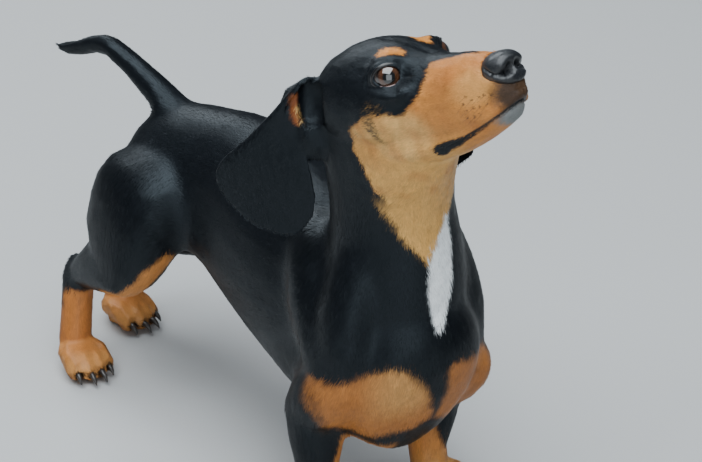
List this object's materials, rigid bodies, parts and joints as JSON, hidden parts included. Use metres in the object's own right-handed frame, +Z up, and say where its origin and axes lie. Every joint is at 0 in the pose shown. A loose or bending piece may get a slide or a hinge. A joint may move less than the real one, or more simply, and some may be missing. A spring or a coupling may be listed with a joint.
{
  "type": "dog",
  "caption": "Standing smooth-coated dachshund, black and tan with a white chest blaze, head raised, low-slung body, hanging ears and a raised tail.",
  "frame": {"origin": "under the middle of the bounding box, at floor level", "axes": "+Z up; the dog faces -Y and its left side is +X; +Y is its length, towards the tail"},
  "size_m": [0.1506, 0.4606, 0.3516],
  "materials": {
    "coat_black": "short glossy black coat",
    "coat_tan": "short tan coat",
    "nose_leather": "damp grained nose leather",
    "eye_glaze": "wet dark brown eye"
  },
  "bodies": {
    "root": {"head": "coat_black", "neck": "coat_black", "torso": "coat_black", "tail": "coat_black", "nose": "nose_leather", "eye_right": "eye_glaze", "eye_left": "eye_glaze", "ear_right": "coat_black", "ear_left": "coat_black", "shoulder_right": "coat_black", "forearm_right": "coat_black", "front_paw_right": "coat_tan", "thigh_right": "coat_black", "shank_right": "coat_black", "hock_right": "coat_tan", "hind_paw_right": "coat_tan", "shoulder_left": "coat_black", "forearm_left": "coat_black", "front_paw_left": "coat_tan", "thigh_left": "coat_black", "shank_left": "coat_black", "hock_left": "coat_tan", "hind_paw_left": "coat_tan"}
  },
  "joints": []
}
